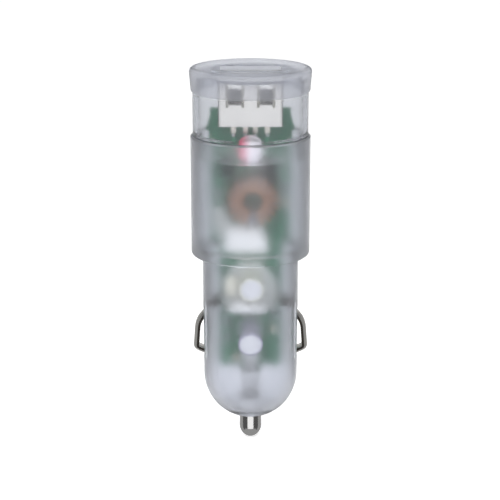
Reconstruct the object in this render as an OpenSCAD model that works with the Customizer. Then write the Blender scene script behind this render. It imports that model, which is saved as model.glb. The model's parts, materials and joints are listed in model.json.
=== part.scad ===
// Car USB charger plug: a see-through case of two mouldings around a small power board, with a
// sprung centre pin, two sprung side contacts and one USB-A socket. Sizes are in millimetres.
// +Z runs from the pin to the USB mouth, and -Y is the front, where the board carries its parts.
// The origin is on the plug's axis, in the plane of the shoulder that stops against the car's socket.

/* [Head of the case] */
// Outer diameter of the frosted head
head_d = 24.7; // [24:0.1:26.5]
// Length of the frosted head above the shoulder
head_h = 25; // [24.5:0.5:30]
// Side wall of the frosted head
head_wall = 1.4; // [1.2:0.1:1.5]
// Thickness of the shoulder where it meets the barrel
floor_t = 1.2; // [1.2:0.1:2]
// Height of the cone inside, from the barrel's bore to the head's bore
floor_cone_h = 0.8; // [0.6:0.1:3.5]
// Rounding of the shoulder's outer edge
shoulder_edge_r = 0.5; // [0.3:0.1:0.9]
// Chamfer of the head's top edge
head_chamfer = 0.25; // [0.1:0.05:0.4]

/* [Barrel and nose] */
// Outer diameter of the barrel that enters the car's socket
barrel_d = 20; // [19.6:0.1:20.6]
// Straight length of the barrel below the shoulder
barrel_h = 26.5; // [26.5:0.5:30]
// Length of the barrel's upper part, which fills the car's socket
barrel_seat_h = 12.2; // [12:0.1:12.2]
// How far the barrel narrows below that, on the radius
barrel_draft = 0.1; // [0.05:0.05:0.15]
// Side wall of the barrel and the nose
barrel_wall = 1.25; // [1.1:0.05:1.3]
// Thickness of the nose around the pin
nose_t = 3.4; // [3:0.1:4]

/* [Front cap] */
// How far the clear neck steps in from the head, on the radius
neck_step = 0.5; // [0.35:0.05:0.7]
// Wall of the clear neck
neck_wall = 1.2; // [1:0.05:1.9]
// Height of the clear neck
neck_h = 9.1; // [9:0.1:11]
// How far the rim stands out past the head at its widest, on the radius
rim_out = 0.15; // [-0.05:0.05:0.65]
// Height of the rim
rim_h = 4.8; // [4:0.1:5.5]
// How far the rim narrows to its lower edge, on the radius
rim_draft = 0.3; // [0.1:0.05:0.4]
// Width of the raised ring around the face
rim_ring_w = 1.1; // [0.8:0.1:1.5]
// Depth of the face below the ring
face_recess = 0.5; // [0.3:0.1:0.8]
// Thickness of the face plate
face_t = 0.9; // [0.8:0.1:2]
// Length of the spigot that plugs into the head
spigot_l = 4; // [3:0.5:5]
// Wall of the spigot
spigot_wall = 1; // [0.8:0.1:1.1]
// Gap between the spigot and the head's bore
spigot_gap = 0.05; // [0.03:0.01:0.1]

/* [USB socket] */
// Width of the metal shell
shell_w = 13.1; // [12.9:0.1:13.4]
// Height of the metal shell, from front to back
shell_d = 5.7; // [5.5:0.1:6]
// Sheet thickness of the shell
shell_t = 0.3; // [0.25:0.05:0.35]
// Length of the shell
shell_l = 10.3; // [9.4:0.1:10.6]
// Width of one grip spring of the shell
finger_w = 2.6; // [2.2:0.1:2.8]
// Width of the slots beside a grip spring
finger_slot = 0.55; // [0.4:0.05:0.6]
// Length of a grip spring
finger_l = 4.8; // [4:0.1:4.9]
// How far a grip spring bends inwards
finger_bend = 0.5; // [0.3:0.05:0.6]
// Width of the plastic tongue
tongue_w = 11.1; // [10.8:0.1:11.3]
// Thickness of the plastic tongue
tongue_t = 1.84; // [1.7:0.02:1.9]
// How far the tongue ends behind the shell's mouth
tongue_recess = 1.2; // [1:0.1:2]
// Width of one contact
contact_w = 1; // [0.8:0.1:1.2]
// Thickness of one contact
contact_t = 0.3; // [0.25:0.05:0.35]
// Raised frame around the USB mouth: width of its border
port_border = 1.5; // [1:0.1:1.8]
// Raised frame around the USB mouth: height above the face
port_rise = 0.3; // [0.2:0.05:0.45]

/* [Circuit board] */
// Thickness of the board
board_t = 1.6; // [1.2:0.1:1.6]
// Gap between the board's corners and the spigot's bore
board_spigot_gap = 0.13; // [0.1:0.01:0.35]
// Gap between the lugs on the board's sides and the neck's bore
board_lug_gap = 0.4; // [0.3:0.05:0.7]
// Gap between the board's corners and the barrel's bore
board_barrel_gap = 0.45; // [0.35:0.05:0.75]
// How far the board reaches up behind the USB shell
board_overlap = 2.75; // [2.2:0.05:3]

/* [Centre pin and spring] */
// Diameter of the centre pin
pin_d = 4.72; // [4.4:0.02:5]
// Straight length of the pin outside the nose
pin_out = 2.3; // [2:0.1:3]
// Height of the pin's rounded tip
pin_tip_h = 2.76; // [2.4:0.02:3]
// Diameter of the pin's collar inside the nose
collar_d = 6.6; // [6.2:0.1:7]
// Thickness of the collar
collar_t = 1; // [0.8:0.1:1.2]
// Running gap between the pin and its hole
pin_gap = 0.06; // [0.04:0.01:0.08]
// Wire of the pin's spring
spring_wire = 0.4; // [0.35:0.05:0.45]
// Outer diameter of the pin's spring
spring_d = 3.9; // [3.7:0.1:4.2]
// Length of the spring in place
spring_l = 5.7; // [5.5:0.1:6]

/* [Side contacts] */
// Width of the contact strip
clip_w = 2.6; // [2.2:0.1:2.8]
// Thickness of the contact strip
clip_t = 0.5; // [0.4:0.05:0.55]
// How far the crown stands out of the barrel
clip_reach = 1.7; // [1.4:0.1:2]
// Crown across the strip
clip_crown = 0.7; // [0.4:0.05:0.75]
// Gap on each side of the strip in its slot
clip_gap = 0.25; // [0.2:0.05:0.3]
// Depth of the contact's hinge below the shoulder
clip_hinge_depth = 10.5; // [10.3:0.1:10.7]
// Depth of the contact's upper bend below the shoulder
clip_top_depth = 15.1; // [14.8:0.1:15.4]
// Depth of the contact's lower bend below the shoulder
clip_low_depth = 21; // [20.7:0.1:21.3]

/* [Parts on the board] */
// Diameter of the two electrolytic capacitors
capacitor_d = 5; // [4.6:0.1:5.2]
// Length of the input capacitor
input_capacitor_l = 11; // [10.5:0.1:11]
// Length of the output capacitor
output_capacitor_l = 9; // [8.5:0.1:9.5]
// Diameter of the indicator lamp's dome
led_d = 4.8; // [4.4:0.1:5]
// Length of the indicator lamp from flange to dome
led_l = 7.6; // [7:0.1:8]
// Outer diameter of the inductor's bare core
core_d = 9.8; // [9.4:0.1:10]
// Hole of the inductor's bare core
core_hole_d = 4.6; // [4.4:0.1:4.8]
// Height of the inductor's core
core_h = 4.4; // [4:0.1:4.6]
// Copper wire of the inductor
coil_wire = 0.6; // [0.5:0.05:0.6]
// Number of turns on the inductor
coil_turns = 17; // [12:1:17]

/* [Places on the board] */
// Depth of the lamp's middle below the head's top edge
lamp_drop = 2.9; // [2.5:0.1:3]
// Gap between the lamp's flange and the inductor, up the board
lamp_gap = 2; // [1.9:0.05:2.4]
// Depth of the output capacitor's middle below the shoulder
output_capacitor_depth = 6.4; // [6.2:0.1:6.8]
// Gap between the pin terminal's leg and the input capacitor
input_capacitor_gap = 2.35; // [2.1:0.05:2.6]
// Width of the glue under the inductor
glue_w = 10; // [9:0.5:11]
// Thickness of the glue
glue_t = 2.6; // [2.2:0.1:2.6]
// Gap between the glue and the inductor above it
glue_top_gap = 0.64; // [0.4:0.02:0.9]
// Gap between the glue and the output capacitor below it
glue_low_gap = 3.2; // [2.8:0.1:3.4]
// Width of the glue between the two capacitors
glue_strip_w = 9.2; // [8:0.2:9.4]
// Thickness of that glue
glue_strip_t = 5; // [4:0.25:6]
// Gap between that glue and the capacitors
glue_strip_gap = 1.7; // [1.4:0.1:2]

/* [Hidden] */
$fn = 72;
eps = 0.01;

// Radii and levels of the case
head_r = head_d / 2;
head_in_r = head_r - head_wall;
barrel_r = barrel_d / 2;
barrel_in_r = barrel_r - barrel_wall;
barrel_low_r = barrel_r - barrel_draft;
tip_z = -barrel_h - barrel_low_r;
nose_floor_z = tip_z + nose_t;
cone_top_z = floor_t + floor_cone_h;
neck_r = head_r - neck_step;
neck_in_r = neck_r - neck_wall;
ledge_z = head_h - 0.1;
spigot_r = head_in_r - spigot_gap;
spigot_in_r = spigot_r - spigot_wall;
rim_z = head_h + neck_h;
top_z = rim_z + rim_h;
face_z = top_z - face_recess;
face_under_z = face_z - face_t;
rim_r = head_r + rim_out;
rim_edge_r = 0.8;
rim_foot_r = 0.35;

// Levels of the USB socket. The tongue lies on the board's side of the middle.
seat_gap = 0.05;
shell_top_z = face_under_z - seat_gap;
shell_bot_z = shell_top_z - shell_l;
shell_corner_r = 0.7;
cavity_w = shell_w - 2 * shell_t;
cavity_d = shell_d - 2 * shell_t;
tongue_y = 0.05;
base_h = 2.3;
base_top_z = shell_bot_z + base_h;
tongue_top_z = shell_top_z - tongue_recess;
contact_x = [-3.5, -1, 1, 3.5];
finger_root_z = shell_bot_z + 4.15;
finger_x = 3.14;
shell_leg_w = 1.2;
shell_leg_z = shell_bot_z + 0.9;
pocket_wall = 0.8;
pocket_h = 0.9;
pocket_gap = 0.1;

// Planes and edges of the board
board_front_y = shell_d / 2;
board_back_y = board_front_y + board_t;
board_top_z = shell_bot_z + board_overlap;
board_lug_w = 2 * half_chord(neck_in_r - board_lug_gap, board_back_y);
board_lug_z = ledge_z + max(0, neck_in_r - board_lug_gap - spigot_in_r) + seat_gap;
board_head_w = 2 * half_chord(spigot_in_r - board_spigot_gap, board_back_y);
board_barrel_w = 2 * half_chord(barrel_in_r - board_barrel_gap, board_back_y);
board_top_w = board_lug_w - 1.6;
board_corner_r = norm([board_head_w / 2, board_back_y]);
cone_slope = floor_cone_h / (head_in_r - barrel_in_r);
board_seat_z = floor_t + max(0, board_corner_r - barrel_in_r) * cone_slope + seat_gap;

// Levels of the pin and its spring
pin_r = pin_d / 2;
pin_hole_r = pin_r + pin_gap;
collar_top_z = nose_floor_z + collar_t;
spring_top_z = collar_top_z + spring_l;
plate_t = 0.4;
plate_w = spring_d + 0.5;
board_bottom_z = spring_top_z + 0.3;
terminal_leg_w = 3;
terminal_leg_top_z = spring_top_z + 3.8;

// Path of a side contact in the plane of the axis, as [distance from the axis, height]
clip_pivot = [barrel_in_r - 0.95, -clip_hinge_depth];
clip_eye_r = 0.6;
clip_bend_top = [barrel_r + clip_reach - 0.58, -clip_top_depth];
clip_bend_low = [barrel_r + clip_reach - 0.14, -clip_low_depth];
clip_end = [barrel_in_r - 0.25, -clip_low_depth - 1.26];
clip_top_slope = (clip_bend_top[1] - clip_pivot[1]) / (clip_bend_top[0] - clip_pivot[0]);
clip_start = 0.42;
slot_bottom_z = clip_end[1] - 0.7;
eye_pin_r = 0.25;
eye_gap = 0.04;
lug_t = 0.4;
lug_gap = 0.15;
lug_web_x = clip_pivot[0] - 1.5;

// Sizes of the inductor's winding, whose wire runs around the core with a small gap
coil_start = -70;
coil_sweep = 320;
coil_gap = 0.06;
coil_mid_r = (core_d + core_hole_d) / 4;
coil_half_w = (core_d - core_hole_d) / 4 + coil_wire / 2 + coil_gap;
coil_half_h = core_h / 2 + coil_wire / 2 + coil_gap;
coil_out_r = coil_mid_r + coil_half_w + coil_wire / 2;
coil_steps = 14;
coil_end_turn = coil_turns + 0.5;

// Places of the parts on the board, as [x, z]
led_at = [0, head_h - lamp_drop];
led_stand = 1.8;
led_flange_r = led_d / 2 + 0.25;
inductor_at = [0.5, led_at[1] - led_flange_r - lamp_gap - coil_out_r];
inductor_lift = 1.9;
chip_at = [3.7, led_at[1] - 4.8];
diode_at = [-5, led_at[1] - 4.1];
output_capacitor_at = [0.2, -output_capacitor_depth];
input_capacitor_at = [0, terminal_leg_top_z + input_capacitor_gap + capacitor_d / 2];
capacitor_pitch = 2;
lead_r = 0.25;
lead_out = 0.9;
hole_gap = 0.05;
sleeve_t = 0.12;
solder_h = 0.8;
chip_size = [3.9, 4.9, 1.4];
chip_pitch = 1.27;
diode_size = [2.6, 4.3, 2.1];
glue_top_z = inductor_at[1] - coil_out_r - glue_top_gap;
glue_low_z = output_capacitor_at[1] + capacitor_d / 2 + glue_low_gap;
glue_at = [-1, glue_low_z];
glue_taper = 1.2;
strip_top_z = output_capacitor_at[1] - capacitor_d / 2 - glue_strip_gap;
strip_at = [-0.6, input_capacitor_at[1] + capacitor_d / 2 + glue_strip_gap];
small_part = [1.25, 2, 0.55];
small_cap_l = 0.4;
// Columns of small parts, beside the inductor in the head and beside the input capacitor in the barrel
head_column_x = inductor_at[0] + coil_out_r + 1.24;
barrel_column_x = board_barrel_w / 2 - 2;
// Each small part as [x, z, turn]
resistors_at = [
    [-barrel_column_x, input_capacitor_at[1] + 1.65, 0], [-barrel_column_x, input_capacitor_at[1] - 1.95, 0],
    [barrel_column_x, input_capacitor_at[1] + 3.25, 0],
    [0.5 - head_column_x, inductor_at[1] + 0.1, 0], [head_column_x, inductor_at[1] + 1.5, 0]
];
capacitors_at = [
    [barrel_column_x, input_capacitor_at[1] + 0.05, 0],
    [head_column_x, inductor_at[1] - 1.7, 0], [0.5 - head_column_x, inductor_at[1] - 3.3, 0],
    [-3.1, terminal_leg_top_z - 1.7, 90]
];

// Outline helpers
function arc(centre, r, from, to, steps = 10) =
    [for (i = [0 : steps])
        let (angle = from + (to - from) * i / steps)
        centre + r * [cos(angle), sin(angle)]];

function unit(v) = v / norm(v);

// Half the width of a circle at a distance from its middle
function half_chord(r, distance) = sqrt(r * r - distance * distance);

// A polyline whose inner corners are rounded to the given radius, with steps points on each
function rounded_path(points, radii, steps = 6) =
    [for (i = [0 : len(points) - 1])
        each (i == 0 || i == len(points) - 1) ? [points[i]] :
            corner(points[i - 1], points[i], points[i + 1], radii[i], steps)];

function corner(before, at, after, r, steps) =
    let (u = unit(before - at), v = unit(after - at))
    let (half = acos(u * v) / 2)
    let (centre = at + unit(u + v) * r / sin(half))
    let (start = at + u * r / tan(half))
    let (finish = at + v * r / tan(half))
    let (a = atan2(start[1] - centre[1], start[0] - centre[0]))
    let (b = atan2(finish[1] - centre[1], finish[0] - centre[0]))
    let (turn = b - a > 180 ? b - a - 360 : b - a < -180 ? b - a + 360 : b - a)
    arc(centre, r, a, a + turn, steps);

// A closed skin over equal rings of points, with flat ends
module skin(rings) {
    sides = len(rings[0]);
    last = len(rings) - 1;
    walls = [
        for (i = [0 : last - 1], j = [0 : sides - 1])
        each let (k = (j + 1) % sides, low = i * sides, high = (i + 1) * sides)
            [[low + j, high + j, high + k], [low + j, high + k, low + k]]
    ];
    start = [[for (j = [0 : sides - 1]) j]];
    finish = [[for (j = [sides - 1 : -1 : 0]) last * sides + j]];
    polyhedron(points = [for (ring = rings) each ring], faces = concat(walls, start, finish));
}

// Rings of a round wire along points. aside holds, for each point, a direction across the wire.
function wire_rings(points, aside, r, sides) =
    [for (i = [0 : len(points) - 1])
        let (before = points[max(i - 1, 0)], after = points[min(i + 1, len(points) - 1)])
        let (along = unit(after - before))
        let (up = unit(cross(along, aside[i])))
        let (out = cross(up, along))
        [for (j = [0 : sides - 1])
            let (angle = 360 * j / sides)
            points[i] + r * (cos(angle) * out + sin(angle) * up)]];

module rounded_bar(size, r, height) {
    linear_extrude(height) rounded_rectangle(size, r);
}

module rounded_rectangle(size, r) {
    corners = [[size[0] / 2 - r, size[1] / 2 - r], [-size[0] / 2 + r, size[1] / 2 - r],
               [-size[0] / 2 + r, -size[1] / 2 + r], [size[0] / 2 - r, -size[1] / 2 + r]];
    polygon([for (i = [0 : 3]) each arc(corners[i], r, 90 * i, 90 * i + 90, 6)]);
}

// Puts a part on the board's front, with its own +Z pointing to the front
module on_board(at) {
    translate([at[0], board_front_y, at[1]]) rotate([90, 0, 0]) children();
}

// Case

module housing() {
    color([0.72, 0.75, 0.8, 0.45]) difference() {
        housing_outside();
        housing_bore();
        translate([0, 0, tip_z - 1]) cylinder(r = pin_hole_r, h = nose_t + 2);
        for (side = [0, 1]) mirror([side, 0, 0]) clip_slot();
    }
}

module housing_outside() {
    translate([0, 0, -barrel_h]) sphere(r = barrel_low_r);
    translate([0, 0, -barrel_h]) cylinder(r1 = barrel_low_r, r2 = barrel_r, h = barrel_h - barrel_seat_h);
    translate([0, 0, -barrel_seat_h]) cylinder(r = barrel_r, h = barrel_seat_h + 1);
    rotate_extrude() polygon(concat(
        [[0, 0]],
        arc([head_r - shoulder_edge_r, shoulder_edge_r], shoulder_edge_r, -90, 0, 6),
        [[head_r, head_h - head_chamfer], [head_r - head_chamfer, head_h], [0, head_h]]
    ));
}

module housing_bore() {
    translate([0, 0, cone_top_z]) cylinder(r = head_in_r, h = head_h);
    translate([0, 0, floor_t]) cylinder(r1 = barrel_in_r, r2 = head_in_r, h = floor_cone_h + eps);
    translate([0, 0, -barrel_h]) cylinder(r = barrel_in_r, h = barrel_h + floor_t + eps);
    intersection() {
        translate([0, 0, -barrel_h]) sphere(r = barrel_in_r);
        translate([0, 0, nose_floor_z]) cylinder(r = barrel_r, h = barrel_r);
    }
}

// The slot's top slants along the strip that comes out under it
module clip_slot() {
    width = clip_w + 2 * clip_gap;
    inner = clip_pivot[0];
    outer = barrel_r + 0.5;
    translate([0, width / 2, 0]) rotate([90, 0, 0]) linear_extrude(width)
        polygon([
            [inner, slot_top_z(inner)], [outer, slot_top_z(outer)],
            [outer, slot_bottom_z], [inner, slot_bottom_z]
        ]);
}

function slot_top_z(r) =
    let (strip_z = clip_bend_top[1] + (r - clip_bend_top[0]) * clip_top_slope)
    strip_z + (clip_t / 2 + clip_crown / 2 + clip_gap) * norm([1, clip_top_slope]);

module front_cap() {
    color([0.8, 0.83, 0.88, 0.4]) difference() {
        union() {
            front_cap_shell();
            port_frame();
            port_pocket();
        }
        translate([0, 0, shell_top_z]) port_hole(cavity_w, cavity_d, top_z);
        translate([0, 0, face_under_z - pocket_h - 1])
            port_hole(shell_w + 2 * pocket_gap, shell_d + 2 * pocket_gap, pocket_h + 1);
    }
}

module front_cap_shell() {
    rim_low_r = rim_r - rim_draft;
    ring_in_r = rim_r - rim_ring_w - 0.2;
    rotate_extrude() polygon(concat(
        [[spigot_in_r, head_h - spigot_l], [spigot_r, head_h - spigot_l], [spigot_r, head_h]],
        [[neck_r, head_h], [neck_r, rim_z]],
        arc([rim_low_r - rim_foot_r, rim_z + rim_foot_r], rim_foot_r, -90, 0, 5),
        arc([rim_r - rim_edge_r, top_z - rim_edge_r], rim_edge_r, 0, 90, 8),
        [[ring_in_r, top_z], [ring_in_r - 0.15, face_z], [0, face_z], [0, face_under_z]],
        [[neck_in_r - 0.5, face_under_z], [neck_in_r, face_under_z - 0.5]],
        [[neck_in_r, ledge_z + neck_in_r - spigot_in_r], [spigot_in_r, ledge_z]]
    ));
}

module port_frame() {
    translate([0, 0, face_z - eps])
        rounded_bar([cavity_w + 2 * port_border, cavity_d + 2 * port_border], 1, port_rise + eps);
}

// Short walls under the face that hold the metal shell
module port_pocket() {
    border = pocket_gap + pocket_wall;
    translate([0, 0, face_under_z - pocket_h])
        rounded_bar([shell_w + 2 * border, shell_d + 2 * border], 1, pocket_h + eps);
}

module port_hole(width, depth, height) {
    rounded_bar([width, depth], shell_corner_r - shell_t, height);
}

// USB socket

module usb_shell() {
    color([0.86, 0.86, 0.85]) {
        difference() {
            translate([0, 0, shell_bot_z]) rounded_bar([shell_w, shell_d], shell_corner_r, shell_l);
            translate([0, 0, shell_bot_z - 1])
                rounded_bar([cavity_w, cavity_d], shell_corner_r - shell_t, shell_l + 2);
            at_fingers() finger_cut();
        }
        at_fingers() grip_finger();
        for (side = [0, 1]) mirror([side, 0, 0]) shell_leg();
    }
}

// The places of the four grip springs, two on each broad face
module at_fingers() {
    for (face = [0, 1], x = [-finger_x, finger_x])
        mirror([0, face, 0]) translate([x, 0, 0]) children();
}

module finger_cut() {
    width = finger_w + 2 * finger_slot;
    height = finger_l + finger_slot;
    translate([0, -shell_d / 2 + 1, finger_root_z]) rotate([90, 0, 0]) linear_extrude(2)
        finger_window(width, height);
}

// The window around a grip spring. Its lower edge dips into a round end on each side of the root.
module finger_window(width, height) {
    r = finger_slot / 2;
    polygon(concat(
        arc([width / 2 - r, 0], r, -90, 0, 6),
        [[width / 2, height], [-width / 2, height]],
        arc([-width / 2 + r, 0], r, 180, 270, 6),
        arc([-width / 2 + r, 0], r, 270, 360, 6),
        arc([width / 2 - r, 0], r, 180, 270, 6)
    ));
}

// A grip spring is rooted at its lower end, bends inwards and turns out again at the mouth
module grip_finger() {
    y = -shell_d / 2;
    inner = y + finger_bend;
    root = finger_root_z - 0.3;
    path = [
        [y, root], [y, finger_root_z + 0.3],
        [inner, finger_root_z + 0.75 * finger_l], [inner - 0.15, finger_root_z + finger_l]
    ];
    back = [for (i = [3 : -1 : 0]) path[i] + [shell_t, 0]];
    translate([-finger_w / 2, 0, 0]) rotate([90, 0, 90]) linear_extrude(finger_w)
        polygon(concat(path, back));
}

module shell_leg() {
    translate([shell_w / 2 - shell_t, 0, shell_leg_z]) cube([shell_t, board_back_y + 0.7, shell_leg_w]);
}

module usb_insulator() {
    color([0.93, 0.93, 0.9]) difference() {
        union() {
            translate([0, 0, shell_bot_z + eps])
                rounded_bar([cavity_w, cavity_d] - 2 * [seat_gap, seat_gap],
                            shell_corner_r - shell_t, base_h);
            translate([-tongue_w / 2, tongue_y, base_top_z - eps])
                cube([tongue_w, tongue_t, tongue_top_z - base_top_z + eps]);
        }
        for (x = contact_x) translate([x, 0, 0]) contact_channel();
    }
}

// The contact lies in a groove of the tongue and passes through the base
module contact_channel() {
    translate([-contact_w / 2, tongue_y, shell_bot_z - 1])
        cube([contact_w, contact_t, tongue_top_z - shell_bot_z - 0.6 + 1]);
}

module usb_contact(index) {
    x = contact_x[index];
    foot_top_z = shell_bot_z - 0.7;
    foot_z = foot_top_z - 1.7;
    outline = [
        [tongue_y, tongue_top_z - 0.6], [tongue_y + contact_t, tongue_top_z - 0.6],
        [tongue_y + contact_t, foot_top_z], [board_front_y, foot_top_z], [board_front_y, foot_z],
        [board_front_y - contact_t, foot_z], [board_front_y - contact_t, foot_top_z - contact_t],
        [tongue_y, foot_top_z - contact_t]
    ];
    color([0.9, 0.78, 0.45]) translate([x - contact_w / 2, 0, 0]) rotate([90, 0, 90])
        linear_extrude(contact_w) polygon(outline);
}

// Circuit board

module circuit_board() {
    color([0.1, 0.38, 0.24]) difference() {
        translate([0, board_back_y, 0]) rotate([90, 0, 0]) linear_extrude(board_t) board_outline();
        for (at = lead_holes()) board_hole(at, lead_r);
        for (at = coil_holes()) board_hole(at, coil_wire / 2);
        for (side = [-1, 1]) leg_hole(side);
    }
}

module board_outline() {
    right = [
        [board_top_w / 2, board_top_z], [board_top_w / 2, board_lug_z + 3.3],
        [board_lug_w / 2, board_lug_z + 0.6], [board_lug_w / 2, board_lug_z],
        [board_head_w / 2, board_lug_z], [board_head_w / 2, board_seat_z],
        [board_barrel_w / 2, board_seat_z], [board_barrel_w / 2, board_bottom_z + 1],
        [board_barrel_w / 2 - 1, board_bottom_z]
    ];
    left = [for (i = [len(right) - 1 : -1 : 0]) [-right[i][0], right[i][1]]];
    polygon(concat(right, left));
}

function pair_at(at, pitch) = [[at[0] - pitch / 2, at[1]], [at[0] + pitch / 2, at[1]]];

function lead_holes() = concat(
    pair_at(led_at, 2.54),
    pair_at(input_capacitor_at, capacitor_pitch),
    pair_at(output_capacitor_at, capacitor_pitch)
);

function coil_holes() = [
    inductor_at + [coil_point(0)[0], coil_point(0)[1]],
    inductor_at + [coil_point(coil_end_turn)[0], coil_point(coil_end_turn)[1]]
];

module board_hole(at, r) {
    translate([at[0], board_back_y + 1, at[1]]) rotate([90, 0, 0])
        cylinder(r = r + hole_gap, h = board_t + 2, $fn = 24);
}

module leg_hole(side) {
    translate([side * (shell_w - shell_t) / 2, board_front_y - 1, shell_leg_z + shell_leg_w / 2])
        rotate([-90, 0, 0]) rounded_bar([shell_t + 0.3, shell_leg_w + 0.3], 0.2, board_t + 2);
}

// Indicator lamp

module led_lens() {
    r = led_d / 2;
    color([0.9, 0.45, 0.5, 0.8]) on_board(led_at) translate([0, 0, led_stand])
        rotate_extrude() polygon(concat(
            [[0, 0], [led_flange_r, 0], [led_flange_r, 1], [r, 1]],
            arc([0, led_l - r], r, 0, 90, 14)
        ));
}

module led_leads() {
    color([0.8, 0.8, 0.8]) on_board(led_at) for (x = [-1.27, 1.27])
        translate([x, 0, -board_t - lead_out])
            cylinder(r = lead_r, h = led_stand + board_t + lead_out, $fn = 20);
}

// Inductor: a ring core with one layer of copper wire, whose two ends run straight to the board

module at_inductor() {
    on_board(inductor_at) translate([0, 0, inductor_lift + coil_wire + core_h / 2]) children();
}

module inductor_core() {
    r_in = core_hole_d / 2;
    r_out = core_d / 2;
    fillet = 0.6;
    color([0.2, 0.2, 0.22]) at_inductor() rotate_extrude() polygon(concat(
        arc([r_out - fillet, core_h / 2 - fillet], fillet, 0, 90, 4),
        arc([r_in + fillet, core_h / 2 - fillet], fillet, 90, 180, 4),
        arc([r_in + fillet, -core_h / 2 + fillet], fillet, 180, 270, 4),
        arc([r_out - fillet, -core_h / 2 + fillet], fillet, 270, 360, 4)
    ));
}

function power(value, exponent) = sign(value) * pow(abs(value), exponent);

coil_lead = inductor_lift + coil_wire + core_h / 2 + board_t + 0.6;

// A point of the wire after so many turns, in the ring's own frame with its axis on Z
function coil_point(turn) =
    let (round_core = turn * 360, around = coil_start + coil_sweep * turn / coil_end_turn)
    let (r = coil_mid_r + coil_half_w * power(cos(round_core), 0.4))
    [r * cos(around), r * sin(around), coil_half_h * power(sin(round_core), 0.4)];

function coil_aside(turn) =
    let (around = coil_start + coil_sweep * turn / coil_end_turn)
    [-sin(around), cos(around), 0];

module inductor_winding() {
    turns = [for (i = [0 : coil_end_turn * coil_steps]) i / coil_steps];
    first = coil_point(0);
    last = coil_point(coil_end_turn);
    path = concat(
        [[first[0], first[1], -coil_lead], [first[0], first[1], -coil_half_h]],
        [for (t = turns) coil_point(t)],
        [[last[0], last[1], -coil_half_h], [last[0], last[1], -coil_lead]]
    );
    aside = concat([coil_aside(0), coil_aside(0)], [for (t = turns) coil_aside(t)],
                   [coil_aside(coil_end_turn), coil_aside(coil_end_turn)]);
    color([0.75, 0.4, 0.2]) at_inductor() skin(wire_rings(path, aside, coil_wire / 2, 6));
}

// Glue that holds the inductor and the capacitors against the board
module adhesive() {
    color([0.96, 0.96, 0.94]) {
        glue_pad(glue_at, [glue_w, glue_top_z - glue_low_z], glue_t);
        glue_pad(strip_at, [glue_strip_w, strip_top_z - strip_at[1]], glue_strip_t);
    }
}

// A pad of glue of the given width and height up the board, from the middle of its lower edge
module glue_pad(at, size, thickness) {
    half = size / 2;
    corner_r = min(1.4, half[1] - 0.1);
    // Each step as [share of the corner's radius that the edge moves in, share of the thickness]
    steps = [[0, 0], [0.1, 0.62], [0.36, 0.88], [0.93, 1]];
    on_board([at[0], at[1] + half[1]])
        skin([for (step = steps) glue_ring(half, corner_r, step[0] * corner_r, step[1] * thickness)]);
}

// The glue is narrower at its top edge
function glue_ring(half, r, inset, height) =
    [for (i = [0 : 3])
        let (side_x = i == 0 || i == 3 ? 1 : -1, side_y = i < 2 ? 1 : -1)
        let (half_w = half[0] - (i < 2 ? glue_taper : 0))
        let (middle = [side_x * (half_w - r), side_y * (half[1] - r)])
        each [for (p = arc(middle, r - inset, 90 * i, 90 * i + 90, 5)) [p[0], p[1], height]]];

// Electrolytic capacitors stand on the board with their closed end to the front

module capacitor_can(at, l) {
    r = capacitor_d / 2 - sleeve_t - 0.03;
    seal_r = r - 0.25;
    color([0.86, 0.87, 0.88]) on_board(at) rotate_extrude() polygon(concat(
        [[0, 1.5], [seal_r, 1.5], [seal_r, 0.3], [r - 0.15, 0.3], [r, 0.45]],
        [[r, 1], [r - 0.2, 1.3], [r, 1.6]],
        arc([r - 0.2, l - 0.2], 0.2, 0, 90, 5),
        [[r - 0.75, l], [r - 0.85, l - 0.1], [0, l - 0.1]]
    ));
}

module capacitor_sleeve(at, l, tint) {
    r = capacitor_d / 2;
    in_r = r - sleeve_t;
    color(tint) on_board(at) rotate_extrude() polygon(concat(
        [[in_r, 0.35], [r, 0.35]],
        arc([r - 0.3, l - 0.2], 0.3, 0, 90, 5),
        [[r - 0.42, l + 0.1], [r - 0.42, l]],
        arc([in_r - 0.25, l - 0.22], 0.25, 90, 0, 5)
    ));
}

module capacitor_seal(at) {
    color([0.15, 0.15, 0.16]) on_board(at)
        cylinder(r = capacitor_d / 2 - sleeve_t - 0.31, h = 1.5);
}

module capacitor_leads(at) {
    color([0.8, 0.8, 0.8]) for (hole = pair_at(at, capacitor_pitch)) on_board(hole)
        translate([0, 0, -board_t - lead_out]) cylinder(r = lead_r, h = board_t + lead_out, $fn = 20);
}

// Flat parts on the board's front

module regulator_chip() {
    color([0.12, 0.12, 0.13]) on_board(chip_at) translate([0, 0, 0.1]) difference() {
        rounded_bar([chip_size[0], chip_size[1]], 0.15, chip_size[2]);
        translate([-chip_size[0] / 2 + 0.7, chip_size[1] / 2 - 0.7, chip_size[2] - 0.1])
            cylinder(r = 0.3, h = 1, $fn = 24);
    }
}

module regulator_legs() {
    inner = chip_size[0] / 2;
    outline = [[inner, 0.55], [inner + 0.4, 0.55], [inner + 0.4, 0], [inner + 1, 0], [inner + 1, 0.2],
               [inner + 0.6, 0.2], [inner + 0.6, 0.75], [inner, 0.75]];
    color([0.82, 0.82, 0.82]) on_board(chip_at) for (side = [0, 1], i = [-1.5 : 1 : 1.5])
        mirror([side, 0, 0]) translate([0, i * chip_pitch + 0.2, 0])
            rotate([90, 0, 0]) linear_extrude(0.4) polygon(outline);
}

module diode_body() {
    color([0.14, 0.14, 0.15]) on_board(diode_at) translate([0, 0, 0.1])
        rounded_bar([diode_size[0], diode_size[1]], 0.2, diode_size[2] - 0.1);
}

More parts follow.
